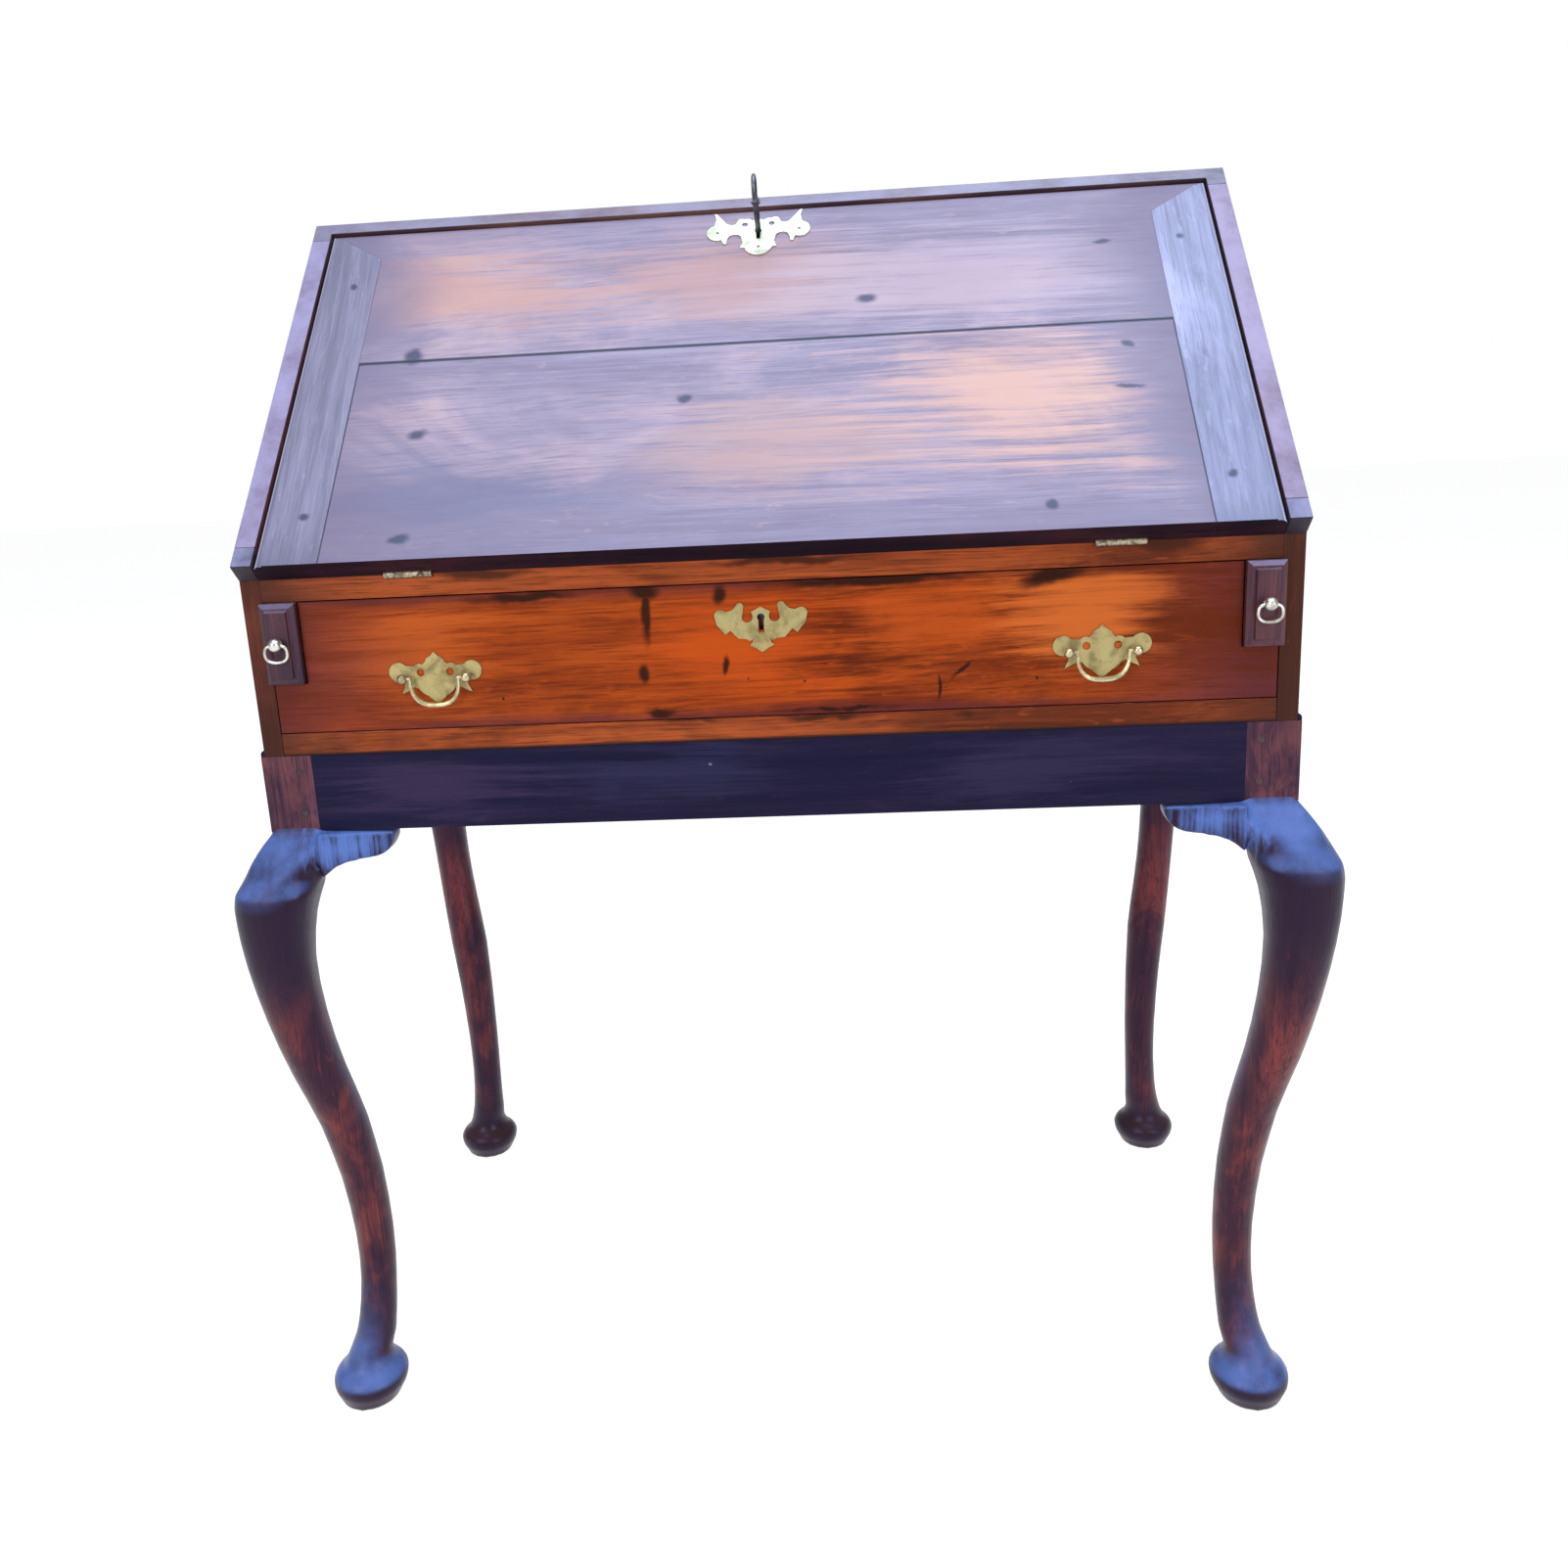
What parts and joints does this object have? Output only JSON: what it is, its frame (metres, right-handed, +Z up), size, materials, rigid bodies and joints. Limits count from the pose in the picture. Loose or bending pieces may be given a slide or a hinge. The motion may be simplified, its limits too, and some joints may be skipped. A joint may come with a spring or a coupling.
{
  "type": "slant-front writing bureau on a stand",
  "caption": "Oak slant-front writing bureau on a stand with cabriole legs: hinged fall, full-width drawer, sliding supports with ring pulls, brass bail handles and a key.",
  "frame": {"origin": "on the floor, in the middle of the desk from side to side and front to back", "axes": "+Z up, +Y to the back, +X to the sitter's right; the fall slopes up to the back"},
  "size_m": [0.8666, 0.484, 1.0215],
  "materials": {
    "stand_oak": "dark stained oak under old wax polish",
    "case_oak": "stained and French-polished oak, worn dark at the edges",
    "fall_oak": "stained and French-polished oak, faded and rubbed",
    "inner_oak": "dry unpolished oak",
    "brass": "old brass, dulled in the hollows and rubbed bright on the high parts",
    "iron": "darkened filed steel"
  },
  "bodies": {
    "desk_frame": {"stand_front_rail": "stand_oak", "stand_back_rail": "stand_oak", "stand_side_rails": "stand_oak", "leg_front_left": "stand_oak", "leg_front_right": "stand_oak", "leg_back_left": "stand_oak", "leg_back_right": "stand_oak", "knee_brackets": "stand_oak", "stand_side_beads": "stand_oak", "stand_pegs": "stand_oak", "stand_glue_blocks": "stand_oak", "case_left_side": "case_oak", "case_right_side": "case_oak", "nose_pieces": "case_oak", "case_top": "case_oak", "case_bottom_rail": "case_oak", "case_bottom": "inner_oak", "bed_front_rail": "case_oak", "writing_bed": "inner_oak", "back_boards": "inner_oak", "fall_stops": "inner_oak", "loper_housings": "inner_oak", "drawer_stops": "inner_oak", "interior_shelf": "inner_oak", "interior_dividers": "inner_oak", "hinge_bed_leaves": "brass", "hinge_pins": "brass", "hinge_bed_screws": "brass"},
    "fall": {"fall_upper_board": "fall_oak", "fall_lower_board": "fall_oak", "fall_left_cleat": "fall_oak", "fall_right_cleat": "fall_oak", "fall_escutcheon": "brass", "fall_lock_case": "iron", "hinge_fall_leaves": "brass", "hinge_fall_screws": "brass"},
    "fall_bolt": {"fall_lock_bolt": "brass"},
    "fall_key": {"key": "iron"},
    "drawer": {"drawer_front": "case_oak", "drawer_left_side": "inner_oak", "drawer_right_side": "inner_oak", "drawer_back": "inner_oak", "drawer_bottom": "inner_oak", "drawer_escutcheon": "brass", "handle_plates": "brass", "handle_posts": "brass", "drawer_lock_case": "iron", "drawer_lock_bolt": "brass"},
    "left_handle": {"left_bail": "brass"},
    "right_handle": {"right_bail": "brass"},
    "left_loper": {"loper_left": "case_oak", "loper_left_block": "case_oak", "loper_left_post": "brass"},
    "left_pull_ring": {"loper_left_ring": "brass"},
    "right_loper": {"loper_right": "case_oak", "loper_right_block": "case_oak", "loper_right_post": "brass"},
    "right_pull_ring": {"loper_right_ring": "brass"},
    "small_drawer": {"small_drawer_front": "inner_oak", "small_drawer_box": "inner_oak"}
  },
  "joints": [
    {"name": "fall_hinge", "type": "hinge", "parent": "desk_frame", "child": "fall", "pos_m": [0, -0.20737, 0.7245], "axis": [1, 0, 0], "range_deg": [0, 134]},
    {"name": "key_turn", "type": "hinge", "parent": "fall", "child": "fall_key", "pos_m": [0, 0.02761, 0.96783], "axis": [0, -0.7193, 0.6947], "range_deg": [0, 180]},
    {"name": "fall_bolt_slide", "type": "slide", "parent": "fall", "child": "fall_bolt", "axis": [0, 0.6947, 0.7193], "range_m": [0, 0.007]},
    {"name": "drawer_slide", "type": "slide", "parent": "desk_frame", "child": "drawer", "axis": [0, -1, 0], "range_m": [0, 0.25]},
    {"name": "left_handle_swing", "type": "hinge", "parent": "drawer", "child": "left_handle", "pos_m": [-0.2522, -0.21377, 0.645], "axis": [-1, 0, 0], "range_deg": [0, 85]},
    {"name": "right_handle_swing", "type": "hinge", "parent": "drawer", "child": "right_handle", "pos_m": [0.2522, -0.21377, 0.645], "axis": [-1, 0, 0], "range_deg": [0, 85]},
    {"name": "left_loper_slide", "type": "slide", "parent": "desk_frame", "child": "left_loper", "axis": [0, -1, 0], "range_m": [0, 0.26]},
    {"name": "left_ring_swing", "type": "hinge", "parent": "left_loper", "child": "left_pull_ring", "pos_m": [-0.36875, -0.22317, 0.6767], "axis": [-1, 0, 0], "range_deg": [0, 80]},
    {"name": "right_loper_slide", "type": "slide", "parent": "desk_frame", "child": "right_loper", "axis": [0, -1, 0], "range_m": [0, 0.26]},
    {"name": "right_ring_swing", "type": "hinge", "parent": "right_loper", "child": "right_pull_ring", "pos_m": [0.36875, -0.22317, 0.6767], "axis": [-1, 0, 0], "range_deg": [0, 80]},
    {"name": "small_drawer_slide", "type": "slide", "parent": "desk_frame", "child": "small_drawer", "axis": [0, -1, 0], "range_m": [0, 0.11]}
  ],
  "couplings": [
    {"joint": "key_turn", "follows": "fall_bolt_slide", "rad_per_m": 448.8}
  ]
}
